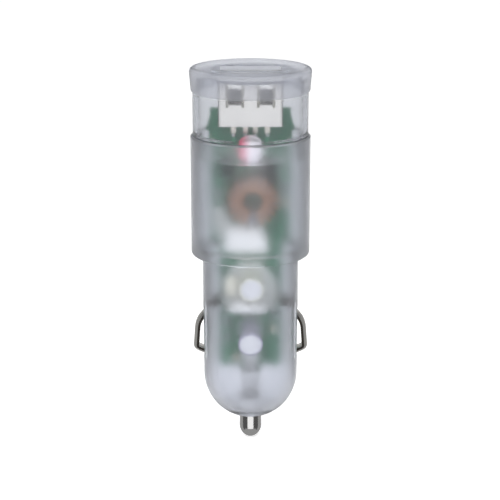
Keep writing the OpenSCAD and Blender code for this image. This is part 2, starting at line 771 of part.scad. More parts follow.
module diode_terminals() {
    end = diode_size[1] / 2;
    outline = [[end, 0.9], [end + 0.2, 0.9], [end + 0.2, 0], [end - 0.8, 0], [end - 0.8, 0.1], [end, 0.1]];
    color([0.82, 0.82, 0.82]) on_board(diode_at) for (side = [0, 1])
        mirror([0, side, 0]) translate([-0.7, 0, 0])
            rotate([90, 0, 90]) linear_extrude(1.4) polygon(outline);
}

module small_bodies(places, tint) {
    color(tint) for (p = places) on_board(p) rotate([0, 0, p[2]])
        translate([-small_part[0] / 2, -small_part[1] / 2 + small_cap_l, 0])
            cube([small_part[0], small_part[1] - 2 * small_cap_l, small_part[2]]);
}

module chip_resistors() {
    small_bodies(resistors_at, [0.15, 0.15, 0.17]);
}

module chip_capacitors() {
    small_bodies(capacitors_at, [0.72, 0.66, 0.55]);
}

module chip_end_caps() {
    color([0.85, 0.85, 0.85]) for (p = concat(resistors_at, capacitors_at), side = [0, 1])
        on_board(p) rotate([0, 0, p[2]]) mirror([0, side, 0])
            translate([-small_part[0] / 2, small_part[1] / 2 - small_cap_l, 0])
                cube([small_part[0], small_cap_l, small_part[2]]);
}

// Solder: cones behind the board around every lead, and beads on the front under every foot

module solder_joints() {
    color([0.85, 0.86, 0.88]) {
        for (at = lead_holes()) solder_cone(at, lead_r);
        for (at = coil_holes()) solder_cone(at, coil_wire / 2);
        for (side = [-1, 1]) solder_leg(side);
        for (x = contact_x) solder_bead([x, shell_bot_z - 2.85]);
        for (side = [-1, 1]) solder_bead([side * (lug_web_x - 0.45), clip_pivot[1]]);
        for (x = [-1, 1]) solder_bead([x, terminal_leg_top_z + 0.45]);
    }
}

module solder_cone(at, r) {
    bore = r + 0.03;
    translate([at[0], board_back_y, at[1]]) rotate([-90, 0, 0]) rotate_extrude($fn = 32)
        polygon([[bore, 0], [0.85, 0], [0.6, 0.25], [bore + 0.1, solder_h - 0.2], [bore, solder_h - 0.2]]);
}

module solder_leg(side) {
    translate([side * (shell_w - shell_t) / 2, board_back_y, shell_leg_z + shell_leg_w / 2])
        rotate([-90, 0, 0]) difference() {
            rounded_bar([1.4, 2.2], 0.5, 0.4);
            translate([0, 0, -1]) rounded_bar([shell_t + 0.04, shell_leg_w + 0.04], 0.02, 3);
        }
}

module solder_bead(at) {
    intersection() {
        translate([at[0], board_front_y + 0.1, at[1]]) sphere(r = 0.45, $fn = 24);
        translate([at[0] - 1, board_front_y - 1, at[1] - 1]) cube([2, 1, 2]);
    }
}

// Centre pin

module centre_pin() {
    straight_z = tip_z - pin_out;
    tip = [for (i = [0 : 12]) [pin_r * sin(90 * i / 12), straight_z - pin_tip_h * cos(90 * i / 12)]];
    guide_r = spring_d / 2 - spring_wire - 0.2;
    color([0.8, 0.81, 0.83]) rotate_extrude() polygon(concat(
        tip,
        [[pin_r, nose_floor_z], [collar_d / 2, nose_floor_z], [collar_d / 2, collar_top_z]],
        [[guide_r, collar_top_z], [guide_r, collar_top_z + 0.9]],
        [[guide_r - 0.3, collar_top_z + 1.2], [0, collar_top_z + 1.2]]
    ));
}

// The end turns lie almost flat, and the turns between them carry the rise
module pin_spring() {
    turns = 6.5;
    steps = 16;
    coil_r = spring_d / 2 - spring_wire / 2;
    low = collar_top_z + spring_wire / 2 + 0.02;
    high = spring_top_z - spring_wire / 2 - 0.02;
    flat_rise = spring_wire + 0.04;
    count = turns * steps;
    heights = [for (i = [0 : count])
        let (t = i / steps)
        t < 1 ? low + flat_rise * t :
        t > turns - 1 ? high - flat_rise * (turns - t) :
        low + flat_rise + (high - low - 2 * flat_rise) * (t - 1) / (turns - 2)];
    aside = [for (i = [0 : count]) [cos(360 * i / steps), sin(360 * i / steps), 0]];
    path = [for (i = [0 : count]) coil_r * aside[i] + [0, 0, heights[i]]];
    color([0.78, 0.78, 0.8]) skin(wire_rings(path, aside, spring_wire / 2, 6));
}

// A plate above the spring, with a leg that is soldered to the board
module pin_terminal() {
    color([0.82, 0.82, 0.82]) {
        translate([-plate_w / 2, -plate_w / 2, spring_top_z])
            cube([plate_w, plate_w / 2 + board_front_y, plate_t]);
        translate([-terminal_leg_w / 2, board_front_y - plate_t, spring_top_z])
            cube([terminal_leg_w, plate_t, terminal_leg_top_z - spring_top_z]);
    }
}

// Side contacts

module side_clip() {
    path = clip_path();
    color([0.82, 0.83, 0.85]) difference() {
        union() {
            skin([for (i = [0 : len(path) - 1]) clip_ring(path, i)]);
            translate([clip_pivot[0], clip_w / 2, clip_pivot[1]]) rotate([90, 0, 0])
                cylinder(r = clip_eye_r, h = clip_w);
        }
        translate([clip_pivot[0], clip_w, clip_pivot[1]]) rotate([90, 0, 0])
            cylinder(r = eye_pin_r + eye_gap, h = 2 * clip_w);
    }
}

function clip_path() =
    let (start = clip_pivot + unit(clip_bend_top - clip_pivot) * clip_start)
    rounded_path([start, clip_bend_top, clip_bend_low, clip_end], [0, 5, 0.9, 0]);

// The strip is flat at the eye and crowned where it touches the car's socket
function clip_ring(path, i) =
    let (before = path[max(i - 1, 0)], after = path[min(i + 1, len(path) - 1)])
    let (along = unit(after - before), out = [-along[1], along[0]])
    let (rise = clip_crown * min(1, 0.15 + norm(path[i] - path[0]) / 4))
    let (steps = 6)
    let (face = [for (k = [0 : steps]) let (u = 2 * k / steps - 1) [u * clip_w / 2, rise * (1 - u * u)]])
    concat(
        [for (k = [0 : steps]) ring_point(path[i], out, face[k][0], face[k][1] - rise / 2 - clip_t / 2)],
        [for (k = [steps : -1 : 0]) ring_point(path[i], out, face[k][0], face[k][1] - rise / 2 + clip_t / 2)]
    );

function ring_point(at, out, y, lift) = [at[0] + out[0] * lift, y, at[1] + out[1] * lift];

// A fork on the board that carries the hinge pin of a side contact
module ground_lug() {
    ear_in = clip_w / 2 + lug_gap;
    ear_x = clip_pivot[0] + 0.45;
    lug_h = 1.5;
    color([0.82, 0.82, 0.82]) {
        translate([lug_web_x, -ear_in - lug_t, clip_pivot[1] - lug_h / 2])
            cube([lug_t, ear_in + lug_t + board_front_y, lug_h]);
        for (y = [-ear_in - lug_t, ear_in]) translate([lug_web_x, y, clip_pivot[1] - lug_h / 2])
            cube([ear_x - lug_web_x, lug_t, lug_h]);
        translate([clip_pivot[0], ear_in + lug_t / 2, clip_pivot[1]]) rotate([90, 0, 0])
            cylinder(r = eye_pin_r, h = 2 * ear_in + lug_t);
    }
}

housing();
front_cap();
usb_shell();
usb_insulator();
usb_contact(0);  // usb_contact_1
usb_contact(1);  // usb_contact_2
usb_contact(2);  // usb_contact_3
usb_contact(3);  // usb_contact_4
circuit_board();
led_lens();
led_leads();
inductor_core();
inductor_winding();
adhesive();
capacitor_can(input_capacitor_at, input_capacitor_l);  // input_capacitor_can
capacitor_sleeve(input_capacitor_at, input_capacitor_l, [0.5, 0.47, 0.6]);  // input_capacitor_sleeve
capacitor_seal(input_capacitor_at);  // input_capacitor_seal
capacitor_leads(input_capacitor_at);  // input_capacitor_leads
capacitor_can(output_capacitor_at, output_capacitor_l);  // output_capacitor_can
capacitor_sleeve(output_capacitor_at, output_capacitor_l, [0.75, 0.75, 0.6]);  // output_capacitor_sleeve
capacitor_seal(output_capacitor_at);  // output_capacitor_seal
capacitor_leads(output_capacitor_at);  // output_capacitor_leads
regulator_chip();
regulator_legs();
diode_body();
diode_terminals();
chip_resistors();
chip_capacitors();
chip_end_caps();
solder_joints();
pin_terminal();
pin_spring();
centre_pin();
mirror([1, 0, 0]) side_clip();  // side_clip_left
side_clip();  // side_clip_right
mirror([1, 0, 0]) ground_lug();  // ground_lug_left
ground_lug();  // ground_lug_right
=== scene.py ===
"""Looks for the see-through car charger plug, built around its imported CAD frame.

Everything is in metres in the CAD frame: the plug's axis is Z, the USB mouth is at the top, and the
circuit board shows its parts to the front, -Y.
"""

import json
import logging
import math
from dataclasses import dataclass
from enum import Enum
from typing import Callable

import bmesh
import bpy
from bmesh.types import BMesh
from bpy.types import Material, Node, NodeSocket, NodeTree, Object
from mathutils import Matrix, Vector, noise

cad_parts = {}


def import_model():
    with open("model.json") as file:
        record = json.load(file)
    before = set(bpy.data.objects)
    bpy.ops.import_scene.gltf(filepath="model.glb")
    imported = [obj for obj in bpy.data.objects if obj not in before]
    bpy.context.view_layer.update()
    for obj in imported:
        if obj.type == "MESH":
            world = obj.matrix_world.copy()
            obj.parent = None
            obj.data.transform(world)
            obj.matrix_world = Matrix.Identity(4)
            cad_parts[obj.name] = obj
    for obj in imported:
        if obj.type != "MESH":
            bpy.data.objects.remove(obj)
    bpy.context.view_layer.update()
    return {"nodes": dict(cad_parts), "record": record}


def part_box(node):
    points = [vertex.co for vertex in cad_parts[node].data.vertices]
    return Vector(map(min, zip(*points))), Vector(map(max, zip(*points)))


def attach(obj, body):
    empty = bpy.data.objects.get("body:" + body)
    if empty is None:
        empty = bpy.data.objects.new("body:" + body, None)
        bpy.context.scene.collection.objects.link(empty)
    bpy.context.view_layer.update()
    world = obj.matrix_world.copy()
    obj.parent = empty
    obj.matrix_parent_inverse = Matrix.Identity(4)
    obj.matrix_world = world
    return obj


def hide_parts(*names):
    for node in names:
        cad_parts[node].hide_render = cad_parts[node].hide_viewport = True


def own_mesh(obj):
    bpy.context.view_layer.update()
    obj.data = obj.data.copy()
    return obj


LOG = logging.getLogger("charger_plug")
MM = 0.001
Point = tuple[float, float, float]
Colour = tuple[float, float, float]
Spot = tuple[float, float]
Feeds = dict[str | int, object]
WHITE = (1.0, 1.0, 1.0, 1.0)
COAT_ROUGHNESS = 0.08
GRAIN_DETAIL = 4.0
GRAIN_STOPS = (0.3, 0.7)
MITRE_LIMIT = 0.3


class Body(Enum):
    """The body that this script's own pieces ride."""

    CASE = "case"


class Surface(Enum):
    """How a finish treats light."""

    SOLID = "solid"
    METAL = "metal"
    CLEAR = "clear"


@dataclass(frozen=True)
class Fade:
    """A change of a finish along one axis of the frame.

    Attributes:
        axis: The axis, "X", "Y" or "Z".
        span_mm: Where the change starts and where it is complete.
        both_ways: Whether it runs outwards from zero to both sides.
        colour: Linear colour where it is complete, or None where the colour stays.
        roughness: Roughness where it is complete, or None where the roughness stays.
        haze: Haze where it is complete, or None where the haze stays.
    """

    axis: str
    span_mm: Spot
    both_ways: bool = False
    colour: Colour | None = None
    roughness: float | None = None
    haze: float | None = None


@dataclass
class Nodes:
    """A node tree, with a short way to add a node and to feed its inputs.

    Attributes:
        tree: The tree.
    """

    tree: NodeTree

    def add(self, kind: str, feeds: Feeds | None = None, **settings: object) -> Node:
        """Adds a node.

        Args:
            kind: The node's type.
            feeds: What its inputs get.
            **settings: Its own properties, such as its operation.

        Returns:
            The node.
        """
        node = self.tree.nodes.new(kind)
        for name, value in settings.items():
            setattr(node, name, value)
        self.feed(node, feeds or {})
        return node

    def feed(self, node: Node, feeds: Feeds) -> None:
        """Links or sets the inputs of a node.

        Args:
            node: The node.
            feeds: An output to link or a value to set, by the input's name or place.
        """
        for key, value in feeds.items():
            if isinstance(value, NodeSocket):
                self.tree.links.new(value, node.inputs[key])
            else:
                node.inputs[key].default_value = value


@dataclass(frozen=True)
class Finish:
    """One material of the plug, with the grain that its real surface shows.

    Attributes:
        colour: Linear base colour.
        surface: Whether it is solid, metal or see-through.
        roughness: Middle value of the roughness.
        roughness_span: How far the roughness wanders around its middle value.
        grain_mm: Size of the surface grain, in millimetres.
        grain_depth_mm: Height of the grain in the bump, in millimetres.
        colour_span: Share by which the colour darkens in the grain.
        coat: Weight of a clear coat.
        ior: Index of refraction of a see-through body.
        stretch: Scale of the grain along X, Y and Z, for drawn or brushed metal.
        lets_light: Share of direct light that passes a see-through wall.
        haze: Share of a see-through wall that scatters light instead of passing it.
        bore_mm: Radius inside which a see-through wall adds no colour, or None.
        fade: Change of the finish along an axis, or None for one finish all over.
    """

    colour: Colour
    surface: Surface = Surface.SOLID
    roughness: float = 0.4
    roughness_span: float = 0.06
    grain_mm: float = 0.4
    grain_depth_mm: float = 0.004
    colour_span: float = 0.08
    coat: float = 0.0
    ior: float = 1.49
    stretch: Point = (1.0, 1.0, 1.0)
    lets_light: float = 0.8
    haze: float = 0.0
    bore_mm: float | None = None
    fade: Fade | None = None

    def build(self, name: str) -> Material:
        """Makes the node material.

        Args:
            name: The material's name.

        Returns:
            The material, ready to be assigned.
        """
        material = bpy.data.materials.new(name)
        material.use_nodes = True
        FinishNodes(self, Nodes(material.node_tree)).build()
        return material


class FinishNodes:
    """Builds the nodes of one finish.

    Attributes:
        finish: The finish.
        nodes: The material's nodes.
        shader: Its Principled node.
        place: The piece's own coordinates.
        grain: The noise that drives the surface, from 0 to 1.
    """

    def __init__(self, finish: Finish, nodes: Nodes) -> None:
        """Adds the coordinates and the noise.

        Args:
            finish: The finish.
            nodes: The material's nodes.
        """
        self.finish = finish
        self.nodes = nodes
        self.shader = nodes.tree.nodes["Principled BSDF"]
        self.place = nodes.add("ShaderNodeTexCoord").outputs["Object"]
        mapping = nodes.add("ShaderNodeMapping", {"Vector": self.place, "Scale": finish.stretch})
        cloud = nodes.add("ShaderNodeTexNoise", {
            "Vector": mapping.outputs["Vector"], "Scale": 1.0 / (finish.grain_mm * MM),
            "Detail": GRAIN_DETAIL,
        })
        self.grain = cloud.outputs["Fac"]

    def build(self) -> None:
        """Feeds the shader, and opens a see-through wall to direct light."""
        finish, shader = self.finish, self.shader
        relief = self.nodes.add("ShaderNodeBump", {
            "Strength": 1.0, "Distance": finish.grain_depth_mm * MM, "Height": self.grain,
        })
        self.nodes.feed(shader, {
            "Base Color": self._colour(), "Roughness": self._roughness(), "IOR": finish.ior,
            "Normal": relief.outputs["Normal"], "Coat Weight": finish.coat,
            "Coat Roughness": COAT_ROUGHNESS,
        })
        if finish.surface is Surface.METAL:
            self.nodes.feed(shader, {"Metallic": 1.0})
        if finish.surface is Surface.CLEAR:
            passed = 1.0 - finish.haze
            if finish.fade and finish.fade.haze is not None:
                passed = self._faded(passed, 1.0 - finish.fade.haze)
            self.nodes.feed(shader, {"Transmission Weight": passed})
            self._open_to_light()

    def _colour(self) -> NodeSocket:
        """Lets the colour vary a little with the grain.

        Returns:
            The colour.
        """
        finish = self.finish
        ramp = self.nodes.add("ShaderNodeValToRGB", {"Fac": self.grain})
        dark = tuple(c * (1.0 - finish.colour_span) for c in finish.colour)
        for element, at, colour in zip(ramp.color_ramp.elements, GRAIN_STOPS, (dark, finish.colour)):
            element.position = at
            element.color = (*colour, 1.0)
        shown = ramp.outputs["Color"]
        if finish.bore_mm:
            feeds = {"Fac": self._outside_bore(), "Color1": WHITE, "Color2": shown}
            shown = self.nodes.add("ShaderNodeMixRGB", feeds).outputs["Color"]
        if finish.fade and finish.fade.colour:
            feeds = {"Fac": self._faded(0.0, 1.0), "Color1": shown, "Color2": (*finish.fade.colour, 1.0)}
            shown = self.nodes.add("ShaderNodeMixRGB", feeds).outputs["Color"]
        return shown

    def _outside_bore(self) -> NodeSocket:
        """Tells a wall's outside from its bore by the distance from the plug's axis.

        Returns:
            1 on the outside and 0 in the bore.
        """
        across = self.nodes.add(
            "ShaderNodeVectorMath", {0: self.place, 1: (1.0, 1.0, 0.0)}, operation="MULTIPLY"
        ).outputs["Vector"]
        radius = self.nodes.add("ShaderNodeVectorMath", {0: across}, operation="LENGTH").outputs["Value"]
        return self.nodes.add(
            "ShaderNodeMath", {0: radius, 1: self.finish.bore_mm * MM}, operation="GREATER_THAN"
        ).outputs[0]

    def _faded(self, start: float, end: float) -> NodeSocket:
        """Lets a value change along the fade.

        Args:
            start: The value before the fade.
            end: The value where the fade is complete.

        Returns:
            The value.
        """
        fade = self.finish.fade
        along = self.nodes.add("ShaderNodeSeparateXYZ", {"Vector": self.place}).outputs[fade.axis]
        if fade.both_ways:
            along = self.nodes.add("ShaderNodeMath", {0: along}, operation="ABSOLUTE").outputs[0]
        change = self.nodes.add("ShaderNodeMapRange", {
            "Value": along, "From Min": fade.span_mm[0] * MM, "From Max": fade.span_mm[1] * MM,
            "To Min": start, "To Max": end,
        })
        return change.outputs["Result"]

    def _roughness(self) -> NodeSocket:
        """Lets the roughness wander around its middle value.

        Returns:
            The roughness.
        """
        finish = self.finish
        spread = self.nodes.add("ShaderNodeMapRange", {
            "Value": self.grain, "To Min": max(0.0, finish.roughness - finish.roughness_span),
            "To Max": finish.roughness + finish.roughness_span,
        })
        shown = spread.outputs["Result"]
        if finish.fade and finish.fade.roughness is not None:
            change = self._faded(0.0, finish.fade.roughness - finish.roughness)
            shown = self.nodes.add("ShaderNodeMath", {0: shown, 1: change}).outputs[0]
        return shown

    def _open_to_light(self) -> None:
        """Lets direct light through a see-through wall, so that the parts behind it are lit."""
        light = self.finish.lets_light
        open_way = self.nodes.add("ShaderNodeBsdfTransparent", {"Color": (light, light, light, 1.0)})
        rays = self.nodes.add("ShaderNodeLightPath")
        mix = self.nodes.add("ShaderNodeMixShader", {
            0: rays.outputs["Is Shadow Ray"], 1: self.shader.outputs["BSDF"], 2: open_way.outputs["BSDF"],
        })
        self.nodes.feed(self.nodes.tree.nodes["Material Output"], {"Surface": mix.outputs["Shader"]})


class Finishes(Enum):
    """The plug's finishes. Those of the CAD nodes are named by the record's material slots."""

    frosted_case = Finish(
        (0.79, 0.81, 0.865), Surface.CLEAR, roughness=0.29, roughness_span=0.02,
        grain_mm=0.12, grain_depth_mm=0.0008, colour_span=0.01, lets_light=0.97, haze=0.02,
    )
    clear_cap = Finish(
        (0.61, 0.632, 0.68), Surface.CLEAR, roughness=0.25, roughness_span=0.02,
        grain_mm=2.5, grain_depth_mm=0.004, colour_span=0.02, ior=1.12, lets_light=0.92, haze=0.05,
        bore_mm=11.3,
        fade=Fade("Z", (33.8, 34.1), colour=(0.62, 0.635, 0.68), roughness=0.33, haze=0.14),
    )
    shell_steel = Finish(
        (0.95, 0.92, 0.87), Surface.METAL, roughness=0.17, roughness_span=0.04,
        grain_mm=0.25, grain_depth_mm=0.0012, stretch=(1.0, 1.0, 0.3), colour_span=0.04,
    )
    white_plastic = Finish((0.86, 0.86, 0.82), roughness=0.42, grain_mm=0.2)
    contact_gold = Finish(
        (0.8, 0.76, 0.66), Surface.METAL, roughness=0.24, grain_mm=0.1,
        grain_depth_mm=0.001,
    )
    board_green = Finish(
        (0.019, 0.15, 0.072), roughness=0.36, grain_mm=0.35, grain_depth_mm=0.006,
        colour_span=0.3, coat=0.1,
    )
    # The lens is red towards -X; from X = 0.1 mm rightwards it stays near white, a painted highlight.
    lamp_pink = Finish(
        (0.86, 0.81, 0.85), roughness=0.22, colour_span=0.06, coat=0.2,
        fade=Fade("X", (0.1, -2.0), colour=(0.78, 0.1, 0.2)),
    )
    tinned_wire = Finish(
        (0.85, 0.85, 0.85), Surface.METAL, roughness=0.3, grain_mm=0.15,
        grain_depth_mm=0.003,
    )
    ferrite_grey = Finish(
        (0.17, 0.165, 0.18), roughness=0.62, grain_mm=0.12, grain_depth_mm=0.01,
        colour_span=0.3,
    )
    copper_wire = Finish(
        (0.72, 0.37, 0.2), Surface.METAL, roughness=0.28, grain_mm=0.5,
        grain_depth_mm=0.003, colour_span=0.2, coat=0.15,
    )
    white_glue = Finish((0.96, 0.96, 0.94), roughness=0.5, grain_mm=1.2, grain_depth_mm=0.06)
    can_aluminium = Finish(
        (0.93, 0.93, 0.94), Surface.METAL, roughness=0.4, grain_mm=0.2,
        grain_depth_mm=0.002,
    )
    sleeve_violet = Finish((0.34, 0.33, 0.42), roughness=0.25, grain_mm=1.5, coat=0.4)
    sleeve_olive = Finish((0.7, 0.7, 0.58), roughness=0.25, grain_mm=1.5, coat=0.4)
    black_rubber = Finish((0.03, 0.03, 0.03), roughness=0.7, grain_mm=0.2)
    black_resin = Finish((0.03, 0.03, 0.033), roughness=0.55, grain_mm=0.1, grain_depth_mm=0.008)
    resistor_black = Finish((0.04, 0.04, 0.045), roughness=0.35, grain_mm=0.3)
    capacitor_tan = Finish((0.45, 0.37, 0.26), roughness=0.45, grain_mm=0.3)
    solder = Finish(
        (0.85, 0.86, 0.88), Surface.METAL, roughness=0.18, roughness_span=0.08, grain_mm=0.4,
        grain_depth_mm=0.01,
    )
    spring_steel = Finish(
        (0.75, 0.75, 0.76), Surface.METAL, roughness=0.25, grain_mm=0.1,
        grain_depth_mm=0.002,
    )
    pin_nickel = Finish(
        (0.86, 0.86, 0.85), Surface.METAL, roughness=0.12, roughness_span=0.03, grain_mm=0.12,
        grain_depth_mm=0.0005, stretch=(0.2, 0.2, 2.0), colour_span=0.05,
    )
    # Beyond 1.29 mm from Y = 0 on either side the nickel turns near black: painted shade on the strips'
    # edge faces.
    contact_nickel = Finish(
        (0.8, 0.79, 0.76), Surface.METAL, roughness=0.2, roughness_span=0.06, grain_mm=0.2,
        grain_depth_mm=0.001, stretch=(1.0, 2.0, 0.2), colour_span=0.06,
        fade=Fade("Y", (1.26, 1.29), both_ways=True, colour=(0.038, 0.034, 0.03), roughness=0.4),
    )

    # Finishes of the pieces that only this script makes
    thin_glue = Finish((0.58, 0.6, 0.57), roughness=0.5, grain_mm=1.2, grain_depth_mm=0.06)
    track_green = Finish(
        (0.033, 0.25, 0.125), roughness=0.33, grain_mm=0.35, grain_depth_mm=0.004,
        colour_span=0.15, coat=0.1,
    )
    print_white = Finish((0.78, 0.8, 0.77), roughness=0.5, grain_mm=0.15, colour_span=0.15)
    fuse_cream = Finish(
        (0.93, 0.9, 0.76), roughness=0.38, grain_mm=0.5, grain_depth_mm=0.02,
        colour_span=0.12, coat=0.2,
    )

    @property
    def material(self) -> Material:
        """The built material, made on first use, under a name that no packed material has."""
        name = self.name + "_finish"
        return bpy.data.materials.get(name) or self.value.build(name)


def mesh_object(name: str, build: Callable[[BMesh], None], smooth: bool = False) -> Object:
    """Makes an object from a function that fills a bmesh.

    Args:
        name: Name of the object.
        build: Fills the empty bmesh it is given.
        smooth: Whether its faces shade as one surface.

    Returns:
        The linked object, at the origin.
    """
    mesh = bpy.data.meshes.new(name)
    bm = bmesh.new()
    build(bm)
    bmesh.ops.recalc_face_normals(bm, faces=bm.faces)
    for face in bm.faces:
        face.smooth = smooth
    bm.to_mesh(mesh)
    bm.free()
    piece = bpy.data.objects.new(name, mesh)
    bpy.context.scene.collection.objects.link(piece)
    return piece


def fix_to_case(piece: Object, finish: Finishes | None = None) -> Object:
    """Fixes a piece to the case.

    Args:
        piece: The piece.
        finish: Its finish, or None where it has one.

    Returns:
        The same piece.
    """
    if finish:
        piece.data.materials.append(finish.material)
    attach(piece, Body.CASE.value)
    return piece


def lay_strip(bm: BMesh, path: list[Spot], width: float, low: float, high: float) -> None:
    """Lays a flat strip with mitred bends on a plane of constant Y.

    Args:
        bm: The mesh that gets the strip.
        path: The strip's middle line, as X and Z.
        width: Width of the strip.
        low: Y of the face that it lies on.
        high: Y of its own face.
    """
    closed = path[0] == path[-1]
    spots = [Vector(spot) for spot in (path[:-1] if closed else path)]
    count = len(spots)
    rings = []
    for i, spot in enumerate(spots):
        before = spots[i - 1] if closed or i > 0 else 2.0 * spot - spots[1]
        after = spots[(i + 1) % count] if closed or i < count - 1 else 2.0 * spot - spots[i - 1]
        ways = [(spot - before).normalized(), (after - spot).normalized()]
        sides = [Vector((-way.y, way.x)) for way in ways]
        mitre = (sides[0] + sides[1]).normalized()
        mitre *= width / 2.0 / max(MITRE_LIMIT, mitre.dot(sides[0]))
        ring = [(spot + mitre, low), (spot - mitre, low), (spot - mitre, high), (spot + mitre, high)]
        rings.append([bm.verts.new((p.x, y, p.y)) for p, y in ring])
    for i in range(count if closed else count - 1):
        here, there = rings[i], rings[(i + 1) % count]
        for j in range(4):
            k = (j + 1) % 4
            bm.faces.new((here[j], here[k], there[k], there[j]))
    if not closed:
        bm.faces.new(rings[0])
        bm.faces.new(rings[-1])


def circle_path(middle: Spot, radius: float, steps: int = 48) -> list[Spot]:
    """A closed circle as a path for a strip.

    Args:
        middle: Its middle, as X and Z.
        radius: Its radius.
        steps: Its number of sides.

    Returns:
        The path, whose last point is its first.
    """
    turns = [2.0 * math.pi * (i % steps) / steps for i in range(steps + 1)]
    return [(middle[0] + radius * math.cos(a), middle[1] + radius * math.sin(a)) for a in turns]


def start_tree(name: str, inputs: dict[str, str]) -> Nodes:
    """Makes an empty Geometry Nodes tree with named inputs.

    Args:
        name: Name of the tree.
        inputs: Type of each input by its name.

    Returns:
        The tree, with its geometry input and output.
    """
    tree = bpy.data.node_groups.new(name, "GeometryNodeTree")
    tree.interface.new_socket("Geometry", in_out="INPUT", socket_type="NodeSocketGeometry")
    for label, kind in inputs.items():
        tree.interface.new_socket(label, in_out="INPUT", socket_type=kind)
    tree.interface.new_socket("Geometry", in_out="OUTPUT", socket_type="NodeSocketGeometry")
    return Nodes(tree)


def end_tree(nodes: Nodes, shape: NodeSocket, finish: NodeSocket) -> None:
    """Smooths and dresses a tree's shape and hands it out.

    Args:
        nodes: The tree.
        shape: The shape.
        finish: The finish.
    """
    for kind in ("GeometryNodeRealizeInstances", "GeometryNodeSetShadeSmooth"):
        shape = nodes.add(kind, {"Geometry": shape}).outputs["Geometry"]
    dress = nodes.add("GeometryNodeSetMaterial", {"Geometry": shape, "Material": finish})
    nodes.add("NodeGroupOutput", {"Geometry": dress.outputs["Geometry"]})


def run_tree(
    name: str, points: list[Point], edges: list[tuple[int, int]], tree: NodeTree, inputs: Feeds
) -> Object:
    """Runs a Geometry Nodes tree on points and edges, and keeps the plain mesh at the origin.

    Args:
        name: Name of the object.
        points: The points.
        edges: The edges between them.
        tree: The tree.
        inputs: The value of each named input.

    Returns:
        The mesh object.
    """
    start = bpy.data.meshes.new(name + "_start")
    start.from_pydata(points, edges, [])
    carrier = bpy.data.objects.new(name + "_start", start)
    bpy.context.scene.collection.objects.link(carrier)
    modifier = carrier.modifiers.new("shape", "NODES")
    modifier.node_group = tree
    for item in tree.interface.items_tree:
        if item.in_out == "INPUT" and item.name in inputs:
            modifier[item.identifier] = inputs[item.name]
    bpy.context.view_layer.update()
    graph = bpy.context.evaluated_depsgraph_get()
    mesh = bpy.data.meshes.new_from_object(carrier.evaluated_get(graph), depsgraph=graph)
    mesh.name = name
    bpy.data.objects.remove(carrier)
    bpy.data.meshes.remove(start)
    piece = bpy.data.objects.new(name, mesh)
    bpy.context.scene.collection.objects.link(piece)
    return piece


@dataclass
class RingField:
    """Small soldered rings on the board, set on points by Geometry Nodes.

    Attributes:
        name: Name of the piece.
        points: Middles of the rings.
        ring_r: Radius of a ring, to the middle of its bead.
        bead_r: Radius of the bead.
        finish: The rings' finish.
    """

    name: str
    points: list[Point]
    ring_r: float
    bead_r: float
    finish: Finishes

    def make(self) -> Object:
        """Sets the rings and keeps the plain mesh.

        Returns:
            The rings as one mesh object.
        """
        tree = bpy.data.node_groups.get("rings_on_points") or self._tree()
        return run_tree(self.name, self.points, [], tree, {
            "Ring Radius": self.ring_r, "Bead Radius": self.bead_r, "Finish": self.finish.material,
        })

    @staticmethod
    def _tree() -> NodeTree:
        """Builds the node tree that sets a ring on each point.

        Returns:
            The node group.
        """
        nodes = start_tree("rings_on_points", {
            "Ring Radius": "NodeSocketFloat", "Bead Radius": "NodeSocketFloat",
            "Finish": "NodeSocketMaterial",
        })
        start = nodes.add("NodeGroupInput").outputs
        spots = nodes.add("GeometryNodeMeshToPoints", {"Mesh": start["Geometry"]})
        ring, bead = (
            nodes.add("GeometryNodeCurvePrimitiveCircle", {"Resolution": sides, "Radius": start[radius]})
            for sides, radius in ((18, "Ring Radius"), (6, "Bead Radius"))
        )
        sweep = nodes.add("GeometryNodeCurveToMesh", {
            "Curve": ring.outputs["Curve"], "Profile Curve": bead.outputs["Curve"],
        })
        copies = nodes.add("GeometryNodeInstanceOnPoints", {
            "Points": spots.outputs["Points"], "Instance": sweep.outputs["Mesh"],
            "Rotation": (math.pi / 2.0, 0.0, 0.0),
        })
        end_tree(nodes, copies.outputs["Instances"], start["Finish"])
        return nodes.tree


@dataclass
class WireSweep:
    """A round wire that follows a path of points, made by Geometry Nodes.

    Attributes:
        name: Name of the piece.
        path: The wire's middle line.
        radius: Radius of the wire.
        finish: The wire's finish.
        sides: Sides of the wire's section.
    """

    name: str
    path: list[Point]
    radius: float
    finish: Finishes
    sides: int = 12

    def make(self) -> Object:
        """Sweeps the wire along its path and keeps the plain mesh.

        Returns:
            The wire as a mesh object.
        """
        edges = [(i, i + 1) for i in range(len(self.path) - 1)]
        tree = bpy.data.node_groups.get("wire_along_path") or self._tree()
        return run_tree(self.name, self.path, edges, tree, {
            "Wire Radius": self.radius, "Section Sides": self.sides, "Finish": self.finish.material,
        })

    @staticmethod
    def _tree() -> NodeTree:
        """Builds the node tree that sweeps a wire.

        Returns:
            The node group.
        """
        nodes = start_tree("wire_along_path", {
            "Wire Radius": "NodeSocketFloat", "Section Sides": "NodeSocketInt",
            "Finish": "NodeSocketMaterial",
        })
        start = nodes.add("NodeGroupInput").outputs
        curve = nodes.add("GeometryNodeMeshToCurve", {"Mesh": start["Geometry"]})
        section = nodes.add("GeometryNodeCurvePrimitiveCircle", {
            "Resolution": start["Section Sides"], "Radius": start["Wire Radius"],
        })
        sweep = nodes.add("GeometryNodeCurveToMesh", {
            "Curve": curve.outputs["Curve"], "Profile Curve": section.outputs["Curve"], "Fill Caps": True,
        })
        end_tree(nodes, sweep.outputs["Mesh"], start["Finish"])
        return nodes.tree


